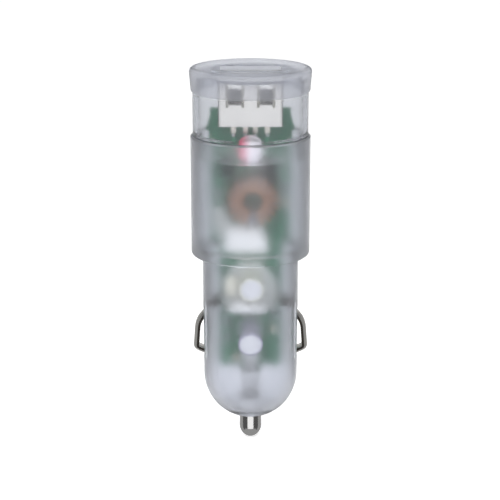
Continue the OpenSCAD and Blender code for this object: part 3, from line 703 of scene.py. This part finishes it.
@dataclass
class Studio:
    """Camera, floor and light.

    Attributes:
        camera_at: Place of the camera.
        pitch_deg: How far the camera looks down.
        focal_px: Focal length in pixels of the frame.
        frame_px: Width of the frame in pixels.
        sensor_mm: Width of the camera's sensor.
        floor_z: Height of the floor.
        floor_half_w: Half width of the floor.
        floor_glow: Glow that lifts the floor to white where it is seen, which lights nothing.
        floor_glow_through: The same for the floor as the see-through case shows it.
        world_light: Strength of the white room as light on the plug.
    """

    camera_at: Point = (-0.0001, -0.2981, 0.08555)
    pitch_deg: float = 15.95
    focal_px: float = 1480.0
    frame_px: float = 500.0
    sensor_mm: float = 36.0
    floor_z: float = -0.0416
    floor_half_w: float = 3.0
    floor_glow: float = 0.5
    floor_glow_through: float = 0.35
    world_light: float = 0.55

    def build(self) -> None:
        """Sets up the whole studio."""
        self._camera()
        self._world()
        self._floor()
        self._lights()
        bpy.context.scene.view_settings.view_transform = "Standard"

    def _camera(self) -> None:
        """Makes the camera at the photograph's viewing angle."""
        data = bpy.data.cameras.new("camera")
        data.sensor_width = self.sensor_mm
        data.lens = self.focal_px / self.frame_px * self.sensor_mm
        data.clip_start = 0.01
        data.clip_end = 10.0
        camera = bpy.data.objects.new("camera", data)
        camera.location = self.camera_at
        camera.rotation_euler = (math.radians(90.0 - self.pitch_deg), 0.0, 0.0)
        bpy.context.scene.collection.objects.link(camera)
        bpy.context.scene.camera = camera

    def _world(self) -> None:
        """Makes a world that is white to the camera, to metal and to glass."""
        world = bpy.data.worlds.new("white_room")
        world.use_nodes = True
        nodes = Nodes(world.node_tree)
        rays = nodes.add("ShaderNodeLightPath").outputs
        shown = rays["Is Camera Ray"]
        for kind in ("Is Glossy Ray", "Is Transmission Ray"):
            shown = nodes.add("ShaderNodeMath", {0: shown, 1: rays[kind]}, operation="MAXIMUM").outputs[0]
        level = nodes.add("ShaderNodeMapRange", {
            "Value": shown, "To Min": self.world_light, "To Max": 1.0,
        })
        ground = nodes.tree.nodes["Background"]
        nodes.feed(ground, {"Color": WHITE, "Strength": level.outputs["Result"]})
        bpy.context.scene.world = world

    def _floor(self) -> None:
        """Makes the white floor, which keeps the plug's shadow."""
        far = self.floor_half_w
        corners = [(-far, -far), (far, -far), (far, far), (-far, far)]

        def plane(bm: BMesh) -> None:
            """Fills the floor's only face."""
            bm.faces.new([bm.verts.new((x, y, self.floor_z)) for x, y in corners])

        floor = mesh_object("floor", plane)
        nodes = self._glowing(floor, shade=0.9, specular=0.1)
        rays = nodes.add("ShaderNodeLightPath").outputs
        through = nodes.add(
            "ShaderNodeMath", {0: rays["Is Transmission Ray"], 1: self.floor_glow_through},
            operation="MULTIPLY",
        )
        glow = nodes.add(
            "ShaderNodeMath", {0: rays["Is Camera Ray"], 1: self.floor_glow, 2: through.outputs[0]},
            operation="MULTIPLY_ADD",
        )
        shader = nodes.tree.nodes["Principled BSDF"]
        nodes.feed(shader, {"Roughness": 0.9, "Emission Strength": glow.outputs[0]})
        floor.visible_glossy = False

    @staticmethod
    def _glowing(piece: Object, shade: float, specular: float) -> Nodes:
        """Gives a piece of the studio a material that can glow white.

        Args:
            piece: The piece.
            shade: Grey of its own colour.
            specular: Level of its gloss.

        Returns:
            The material's nodes.
        """
        material = bpy.data.materials.new(piece.name + "_glow")
        material.use_nodes = True
        nodes = Nodes(material.node_tree)
        nodes.feed(nodes.tree.nodes["Principled BSDF"], {
            "Base Color": (shade, shade, shade, 1.0), "Specular IOR Level": specular,
            "Emission Color": WHITE,
        })
        piece.data.materials.append(material)
        return nodes

    def _lights(self) -> None:
        """Hangs the soft boxes and the grey cards."""
        self._soft_box("box_front", (-0.08, -0.42, 0.3), (0.0, 0.0, 0.0), (0.3, 0.3), 1.2, False)
        self._soft_box("box_fill", (0.07, -0.4, 0.02), (0.0, 0.0, -0.01), (0.25, 0.2), 0.35, False)
        self._soft_box("box_top", (0.05, 0.06, 0.5), (0.0, 0.0, 0.0), (0.4, 0.4), 0.7, True)
        gloss, glass = ("glossy",), ("transmission",)
        for way, side in ((-1.0, "left"), (1.0, "right")):
            self._card(f"card_dark_{side}", (way * 0.16, -0.14, -0.02), (0.0, 0.26, 0.6), 0.09, gloss)
            self._card(f"card_grey_{side}", (way * 0.16, 0.12, -0.02), (0.0, 0.26, 0.6), 0.33, gloss)
            self._card(f"card_glass_{side}", (way * 0.17, 0.145, -0.02), (0.0, 0.23, 0.6), 0.0, glass)
            self._card(f"card_low_{side}", (way * 0.12, 0.065, -0.0412), (0.17, 0.07, 0.0), 0.18, glass)
        self._card("card_back", (0.0, 0.3, 0.13), (0.7, 0.0, 0.16), 0.12, gloss)
        self._card("card_front", (0.0, -0.25, 0.1), (0.4, 0.0, 0.152), 0.03, gloss + glass)
        self._card("card_bright", (0.0, -0.25, -0.018), (0.3, 0.0, 0.082), 1.25, gloss + glass)
        self._card("card_below", (0.0, 0.0085, -0.06), (0.05, 0.083, 0.0), 0.3, gloss)

    @staticmethod
    def _soft_box(name: str, at: Point, aim: Point, size: Spot, power: float, shines: bool) -> None:
        """Hangs one soft box.

        Args:
            name: Name of the light.
            at: Place of the light.
            aim: Point that it faces.
            size: Width and height.
            power: Power in watts.
            shines: Whether metal mirrors it.
        """
        data = bpy.data.lights.new(name, "AREA")
        data.shape = "RECTANGLE"
        data.size, data.size_y = size
        data.energy = power
        light = bpy.data.objects.new(name, data)
        light.location = at
        light.visible_glossy = shines
        direction = Vector(aim) - Vector(at)
        light.rotation_euler = direction.to_track_quat("-Z", "Y").to_euler()
        bpy.context.scene.collection.objects.link(light)

    def _card(self, name: str, at: Point, size: Point, shade: float, shown_by: tuple[str, ...]) -> None:
        """Hangs a grey card by the plug, out of the camera's sight.

        Args:
            name: Name of the card.
            at: Centre of the card.
            size: Its extent along X, Y and Z, with one of them zero.
            shade: How brightly it shows, with 1 as white.
            shown_by: Kinds of ray that show it, "glossy" or "transmission" or both.
        """
        across, along = [i for i in range(3) if size[i] > 0.0]
        corners = [Vector(at) for _ in range(4)]
        for corner, (u, v) in zip(corners, ((-1, -1), (1, -1), (1, 1), (-1, 1))):
            corner[across] += u * size[across] / 2.0
            corner[along] += v * size[along] / 2.0

        def plane(bm: BMesh) -> None:
            """Fills the card's only face."""
            bm.faces.new([bm.verts.new(corner) for corner in corners])

        card = mesh_object(name, plane)
        nodes = self._glowing(card, shade=0.0, specular=0.0)
        nodes.feed(nodes.tree.nodes["Principled BSDF"], {"Emission Strength": shade})
        card.visible_camera = False
        card.visible_diffuse = False
        card.visible_shadow = False
        card.visible_glossy = "glossy" in shown_by
        card.visible_transmission = "transmission" in shown_by


@dataclass
class CadFinishes:
    """Dresses the CAD nodes that keep their shape.

    Attributes:
        nodes: The CAD node objects by name.
        slots: The record's material slot of each node.
    """

    nodes: dict[str, Object]
    slots: dict[str, str]

    def dress(self) -> None:
        """Gives every CAD node its finish."""
        for name, node in self.nodes.items():
            finish = Finishes[self.slots[name]]
            node.data.materials.clear()
            node.data.materials.append(finish.material)
            LOG.info("%s: %s", name, finish.name)


def middle_of(node: str) -> Spot:
    """Middle of a CAD node, as X and Z.

    Args:
        node: The node's name.

    Returns:
        The middle of its box.
    """
    low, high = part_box(node)
    return ((low[0] + high[0]) / 2.0, (low[2] + high[2]) / 2.0)


@dataclass
class Inductor:
    """The ring inductor's copper winding, smooth and round.

    Attributes:
        at: Centre of the ring, as X and Z.
        board_front: Y of the board's front.
        lift: Distance of the ring's middle from the board.
        mid_r: Middle radius of the core.
        half_w: Half width of a turn, to the wire's middle.
        half_h: Half height of a turn, to the wire's middle.
        wire_r: Radius of the wire.
        turns: Number of turns.
        start_deg: Where the winding starts around the ring.
        sweep_deg: How far it goes around the ring.
        lead_z: Depth of the straight ends behind the ring's middle.
        steps: Points of the wire in a turn.
        squareness: Exponent of a turn's outline. 1 is an ellipse, 0 a rectangle.
    """

    at: Spot = (0.5 * MM, 11.89 * MM)
    board_front: float = 2.85 * MM
    lift: float = 4.7 * MM
    mid_r: float = 3.6 * MM
    half_w: float = 1.66 * MM
    half_h: float = 2.56 * MM
    wire_r: float = 0.3 * MM
    turns: float = 17.5
    start_deg: float = -70.0
    sweep_deg: float = 320.0
    lead_z: float = 6.9 * MM
    steps: int = 28
    squareness: float = 0.4

    def _point(self, turn: float) -> Point:
        """A point of the wire after so many turns, in the plug's frame.

        Args:
            turn: Turns from the start.

        Returns:
            The point.
        """
        angle = turn * 2.0 * math.pi
        around = math.radians(self.start_deg + self.sweep_deg * turn / self.turns)
        out = math.copysign(abs(math.cos(angle)) ** self.squareness, math.cos(angle))
        up = math.copysign(abs(math.sin(angle)) ** self.squareness, math.sin(angle))
        r = self.mid_r + self.half_w * out
        away = self.board_front - self.lift - self.half_h * up
        return (self.at[0] + r * math.cos(around), away, self.at[1] + r * math.sin(around))

    def _lead(self, turn: float) -> list[Point]:
        """The straight end of the wire that runs to the board.

        Args:
            turn: The turn where the end leaves the ring.

        Returns:
            Its points, from the ring to the board.
        """
        x, _, z = self._point(turn)
        deep = self.board_front - self.lift
        return [(x, deep + self.half_h * k, z) for k in (0.5, 1.0)] + [(x, deep + self.lead_z, z)]

    def build(self) -> list[Object]:
        """Winds the wire and puts it in place of the CAD winding.

        Returns:
            The winding, as the only piece.
        """
        count = int(self.turns * self.steps)
        wound = [self._point(i / self.steps) for i in range(count + 1)]
        path = list(reversed(self._lead(0.0))) + wound + self._lead(self.turns)
        piece = WireSweep("copper_winding", path, self.wire_r, Finishes.copper_wire).make()
        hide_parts("inductor_winding")
        return [fix_to_case(piece)]


@dataclass
class PinSpring:
    """The coil spring above the pin.

    Attributes:
        bottom: Lower end of the spring.
        top: Upper end of the spring.
        coil_r: Radius of the coil, to the wire's middle.
        wire_r: Radius of the wire.
        turns: Number of turns.
        closed_rise: Rise of a closed end turn.
        travel: How far the pin slides. Not used.
        steps: Points of the wire in a turn.
        end_gap: Gap between the wire and what it seats on.
    """

    bottom: float = -32.0 * MM
    top: float = -26.3 * MM
    coil_r: float = 1.75 * MM
    wire_r: float = 0.2 * MM
    turns: float = 6.5
    closed_rise: float = 0.44 * MM
    travel: float = 3.0 * MM
    steps: int = 32
    end_gap: float = 0.02 * MM

    def _height(self, turn: float) -> float:
        """Height of the wire's middle after so many turns.

        Args:
            turn: Turns from the lower end.

        Returns:
            The height.
        """
        low = self.bottom + self.wire_r + self.end_gap
        high = self.top - self.wire_r - self.end_gap
        if turn < 1.0:
            return low + self.closed_rise * turn
        if turn > self.turns - 1.0:
            return high - self.closed_rise * (self.turns - turn)
        share = (turn - 1.0) / (self.turns - 2.0)
        return low + self.closed_rise + (high - low - 2.0 * self.closed_rise) * share

    def build(self) -> list[Object]:
        """Coils the spring.

        Returns:
            The spring, as the only piece.
        """
        path = []
        for i in range(int(self.turns * self.steps) + 1):
            turn = i / self.steps
            angle = turn * 2.0 * math.pi
            path.append((self.coil_r * math.cos(angle), self.coil_r * math.sin(angle), self._height(turn)))
        piece = WireSweep("coil_spring", path, self.wire_r, Finishes.spring_steel).make()
        fix_to_case(piece)
        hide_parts("pin_spring")
        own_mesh(piece)
        return [piece]


class Side(Enum):
    """The two faces of the board, as the way that each looks along Y."""

    FRONT = -1.0
    BACK = 1.0


@dataclass
class BoardDetail:
    """Tracks, via rings and printed outlines on one face of the circuit board.

    Attributes:
        side: The face of the board.
        track_w: Width of a track.
        track_h: How far a track stands out of the board.
        print_w: Width of a printed line.
        print_h: Thickness of the print.
        via_pitch: Distance between the rings along the board's edges.
        via_edge: Distance of the rings from the board's edge.
        via_r: Radius of a ring, to the middle of its bead.
        via_bead_r: Radius of the bead.
        via_top: Height over which no ring stands.
        head_half_w: Half width of the board in the head.
        barrel_half_w: Half width of the board in the barrel.
        seat_drop: How far the board's narrowing lies below the head's upper edge.
        seat_clear: Length below the narrowing without rings.
        fork_clear: Length above and below the contact forks without rings.
    """

    side: Side
    track_w: float = 0.7 * MM
    track_h: float = 0.04 * MM
    print_w: float = 0.18 * MM
    print_h: float = 0.02 * MM
    via_pitch: float = 1.9 * MM
    via_edge: float = 0.75 * MM
    via_r: float = 0.24 * MM
    via_bead_r: float = 0.09 * MM
    via_top: float = 24.0 * MM
    head_half_w: float = 8.7 * MM
    barrel_half_w: float = 7.0 * MM
    seat_drop: float = 23.0 * MM
    seat_clear: float = 1.5 * MM
    fork_clear: float = 1.6 * MM

    def _face_y(self) -> float:
        """Y of the board's face."""
        low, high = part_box("circuit_board")
        return low[1] if self.side is Side.FRONT else high[1]

    @staticmethod
    def _route(start: Spot, finish: Spot) -> list[Spot]:
        """Runs a track with one slanted stretch between two pads.

        Args:
            start: The first pad.
            finish: The last pad.

        Returns:
            The track's middle line.
        """
        across = finish[0] - start[0]
        up = finish[1] - start[1]
        slant = min(abs(across), abs(up))
        bend_x = start[0] + math.copysign(slant, across)
        middle = (bend_x, finish[1])
        if abs(up) > abs(across):
            middle = (start[0], finish[1] - math.copysign(slant, up))
        spots = [start, middle, finish]
        return [p for i, p in enumerate(spots) if i == 0 or math.dist(p, spots[i - 1]) > 0.1 * MM]

    def _tracks(self) -> list[list[Spot]]:
        """Runs the tracks from pad to pad.

        Returns:
            The middle line of each track.
        """
        lamp, coil = middle_of("led_lens"), middle_of("inductor_core")
        out_can, in_can = middle_of("output_capacitor_can"), middle_of("input_capacitor_can")
        leg = middle_of("pin_terminal")
        chains = [
            [(-3.5 * MM, lamp[1] + 2.2 * MM), (-6.6 * MM, lamp[1] - 5.0 * MM),
             (-5.2 * MM, coil[1] - 8.0 * MM), (out_can[0] - MM, out_can[1])],
            [(3.5 * MM, lamp[1] + 2.2 * MM), (7.4 * MM, lamp[1] - 6.0 * MM),
             (5.4 * MM, coil[1] - 8.5 * MM), (out_can[0] + MM, out_can[1])],
            [(5.9 * MM, out_can[1] - 4.0 * MM), (MM, in_can[1]), (MM, leg[1] + MM)],
            [(-5.9 * MM, out_can[1] - 4.0 * MM), (-MM, in_can[1])],
            [(-5.4 * MM, in_can[1] + 5.0 * MM), (-5.4 * MM, leg[1] - 2.0 * MM)],
            [(5.4 * MM, in_can[1] + 5.0 * MM), (5.4 * MM, leg[1] - 2.0 * MM)],
        ]
        return [self._route(a, b) for chain in chains for a, b in zip(chain, chain[1:])]

    def _outlines(self) -> list[list[Spot]]:
        """Draws outlines around the parts of the front.

        Returns:
            The middle line of each outline.
        """
        rings = [
            circle_path(middle_of("inductor_core"), 6.1 * MM, 72),
            circle_path(middle_of("output_capacitor_can"), 2.9 * MM),
            circle_path(middle_of("input_capacitor_can"), 2.9 * MM),
        ]
        return rings + [self._frame(node, 0.5 * MM) for node in ("regulator_legs", "diode_terminals")]

    @staticmethod
    def _frame(node: str, border: float) -> list[Spot]:
        """A closed rectangle around a CAD node.

        Args:
            node: The node's name.
            border: Distance from the node's box.

        Returns:
            The path, whose last point is its first.
        """
        low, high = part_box(node)
        left, right = low[0] - border, high[0] + border
        bottom, top = low[2] - border, high[2] + border
        return [(left, bottom), (right, bottom), (right, top), (left, top), (left, bottom)]

    def _via_points(self) -> list[Point]:
        """Spaces the rings along the board's edges, clear of the contact forks.

        Returns:
            The middle of each ring.
        """
        low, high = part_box("circuit_board")
        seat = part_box("housing")[1][2] - self.seat_drop
        fork = middle_of("ground_lug_right")[1]
        face = self._face_y()
        head_x = self.head_half_w - self.via_edge
        barrel_x = self.barrel_half_w - self.via_edge
        points = []
        count = int((high[2] - low[2]) / self.via_pitch)
        for i in range(1, count):
            z = low[2] + i * self.via_pitch
            in_head = seat < z < self.via_top
            in_barrel = z < seat - self.seat_clear and abs(z - fork) > self.fork_clear
            if in_head or in_barrel:
                x = head_x if in_head else barrel_x
                points += [(-x, face, z), (x, face, z)]
        return points

    def build(self) -> list[Object]:
        """Builds the tracks, the rings and, on the front, the print.

        Returns:
            The pieces.
        """
        face = self._face_y()
        name = self.side.name.lower()

        def tracks(bm: BMesh) -> None:
            """Lays the tracks."""
            for path in self._tracks():
                lay_strip(bm, path, self.track_w, face, face + self.side.value * self.track_h)

        def outlines(bm: BMesh) -> None:
            """Lays the printed lines."""
            for path in self._outlines():
                lay_strip(bm, path, self.print_w, face, face + self.side.value * self.print_h)

        track_piece = mesh_object(f"board_tracks_{name}", tracks)
        rings = RingField(
            f"board_vias_{name}", self._via_points(), self.via_r, self.via_bead_r, Finishes.solder
        ).make()
        pieces = [
            fix_to_case(track_piece, Finishes.track_green), fix_to_case(rings),
        ]
        if self.side is Side.FRONT:
            print_piece = mesh_object("board_print", outlines)
            pieces.append(fix_to_case(print_piece, Finishes.print_white))
        return pieces


@dataclass
class Fuse:
    """The cream-coloured fuse that stands left of the output capacitor.

    Attributes:
        size: Width, depth and height of its body.
        gap: Gap to the capacitor's sleeve.
        stand: Height of its body above the board.
        drop: How far its middle lies below the capacitor's.
        lead_r: Radius of its leads.
        lead_splay: How far a lead spreads outwards on its way to the board.
        squareness: Exponent of its rounded outline. 1 is an ellipsoid, 0 a box.
    """

    size: Point = (2.5 * MM, 1.7 * MM, 4.2 * MM)
    gap: float = 0.5 * MM
    stand: float = 1.4 * MM
    drop: float = 1.2 * MM
    lead_r: float = 0.25 * MM
    lead_splay: float = 0.9 * MM
    squareness: float = 0.55

    def _middle(self) -> Point:
        """Places the body by the capacitor beside it and the board behind it.

        Returns:
            The middle of the body.
        """
        sleeve_low, sleeve_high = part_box("output_capacitor_sleeve")
        board_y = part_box("circuit_board")[0][1]
        return (
            sleeve_low[0] - self.gap - self.size[0] / 2.0,
            board_y - self.stand - self.size[1] / 2.0,
            (sleeve_low[2] + sleeve_high[2]) / 2.0 - self.drop,
        )

    def _body(self, bm: BMesh) -> None:
        """Fills the rounded body.

        Args:
            bm: The mesh that gets the body.
        """
        middle = Vector(self._middle())
        bmesh.ops.create_uvsphere(bm, u_segments=40, v_segments=24, radius=1.0)
        for vert in bm.verts:
            co = [math.copysign(abs(c) ** self.squareness, c) for c in vert.co]
            vert.co = middle + Vector([c * s / 2.0 for c, s in zip(co, self.size)])

    def build(self) -> list[Object]:
        """Builds the body and its two leads.

        Returns:
            The pieces.
        """
        body = mesh_object("fuse_body", self._body, smooth=True)
        pieces = [fix_to_case(body, Finishes.fuse_cream)]
        middle = self._middle()
        board_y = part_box("circuit_board")[0][1]
        for name, way in (("fuse_lead_top", 1.0), ("fuse_lead_bottom", -1.0)):
            z = middle[2] + way * self.size[2] * 0.3
            out = z + way * self.lead_splay
            path = [(middle[0], y, height) for y, height in (
                (middle[1], z), (middle[1] + 0.7 * MM, z + way * 0.2 * MM),
                (board_y - 0.9 * MM, out - way * 0.1 * MM), (board_y - 0.4 * MM, out),
                (board_y + 0.05 * MM, out),
            )]
            lead = WireSweep(name, path, self.lead_r, Finishes.tinned_wire).make()
            pieces.append(fix_to_case(lead))
        return pieces


@dataclass
class GlueSpread:
    """Thin glue that spread over the board's front around a part.

    Attributes:
        name: Name of the piece.
        beside: The CAD node that it spread around.
        rows: Rows from its top to its bottom, each with its height, left end and right end from
            that node's middle, in millimetres.
        height: Height over the board.
        waviness: Height of the waves in its surface.
        wave_size: Size of the waves.
        edge: Thickness at its edge.
        sink: How far its back lies in the board.
        row_lines: Number of faces between two rows.
        columns: Number of faces along a row.
    """

    name: str
    beside: str
    rows: list[Point]
    height: float
    waviness: float = 0.2 * MM
    wave_size: float = 1.6 * MM
    edge: float = 0.03 * MM
    sink: float = 0.04 * MM
    row_lines: int = 6
    columns: int = 28

    def _row_at(self, share: float) -> Point:
        """A row between the given ones.

        Args:
            share: Share of the way from the first row to the last.

        Returns:
            The row's height and ends, in millimetres.
        """
        place = share * (len(self.rows) - 1)
        first = min(int(place), len(self.rows) - 2)
        part = place - first
        here, there = self.rows[first], self.rows[first + 1]
        return tuple(a + (b - a) * part for a, b in zip(here, there))

    def _fill(self, bm: BMesh) -> None:
        """Lofts the domed spread with a flat back.

        Args:
            bm: The mesh that gets the spread.
        """
        middle_x, middle_z = middle_of(self.beside)
        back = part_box("circuit_board")[0][1] + self.sink
        lines = self.row_lines * (len(self.rows) - 1)
        front_face, back_face = [], []
        for i in range(lines + 1):
            dz, left, right = self._row_at(i / lines)
            rise = (1.0 - (2.0 * i / lines - 1.0) ** 6) ** 0.5
            front_row, back_row = [], []
            for j in range(self.columns + 1):
                u = 2.0 * j / self.columns - 1.0
                x = middle_x + ((left + right) / 2.0 + u * (right - left) / 2.0) * MM
                z = middle_z + dz * MM
                dome = rise * max(0.0, 1.0 - u**4) ** 0.5
                wave = self.waviness * noise.noise(Vector((x, 0.0, z)) / self.wave_size)
                front_row.append(bm.verts.new((x, back - self.edge - dome * (self.height + wave), z)))
                back_row.append(bm.verts.new((x, back, z)))
            front_face.append(front_row)
            back_face.append(back_row)
        for rows in (front_face, back_face):
            for i in range(lines):
                for j in range(self.columns):
                    bm.faces.new((rows[i][j], rows[i][j + 1], rows[i + 1][j + 1], rows[i + 1][j]))
        front_rim, back_rim = (
            rows[0] + [row[-1] for row in rows[1:-1]] + rows[-1][::-1] + [row[0] for row in rows[-2:0:-1]]
            for rows in (front_face, back_face)
        )
        for k in range(len(front_rim)):
            n = (k + 1) % len(front_rim)
            bm.faces.new((front_rim[k], front_rim[n], back_rim[n], back_rim[k]))

    def build(self) -> list[Object]:
        """Builds the spread.

        Returns:
            The spread, as the only piece.
        """
        piece = mesh_object(self.name, self._fill, smooth=True)
        return [fix_to_case(piece, Finishes.thin_glue)]


def main() -> None:
    """Builds the looks in order and reports each piece."""
    logging.basicConfig(level=logging.INFO, format="%(message)s")
    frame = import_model()
    Studio().build()
    slots = {part["node"]: part["material_slot"] for part in frame["record"]["subparts"]}
    CadFinishes(frame["nodes"], slots).dress()
    details = (
        Fuse(), BoardDetail(Side.FRONT), BoardDetail(Side.BACK),
        GlueSpread("glue_by_coil", "inductor_core", [
            (-2.2, -8.2, -6.6), (-3.8, -8.6, -5.4), (-5.8, -8.5, -4.4), (-7.6, -8.1, -3.0),
            (-9.2, -7.4, -2.6), (-10.6, -6.2, -3.4),
        ], 1.2 * MM),
        GlueSpread("glue_by_capacitor", "output_capacitor_can", [
            (3.7, -2.4, 1.8), (2.6, -4.1, 3.2), (1.0, -5.4, 4.4), (-0.8, -6.3, 5.4),
            (-2.8, -6.3, 6.0), (-5.0, -6.4, 6.0), (-6.6, -5.8, 5.4), (-7.1, -4.6, 4.2),
        ], 0.9 * MM),
    )
    for part in (Inductor(), PinSpring(), *details):
        for piece in part.build():
            LOG.info("%s: %d faces", piece.name, len(piece.data.polygons))


if __name__ == "__main__":
    main()
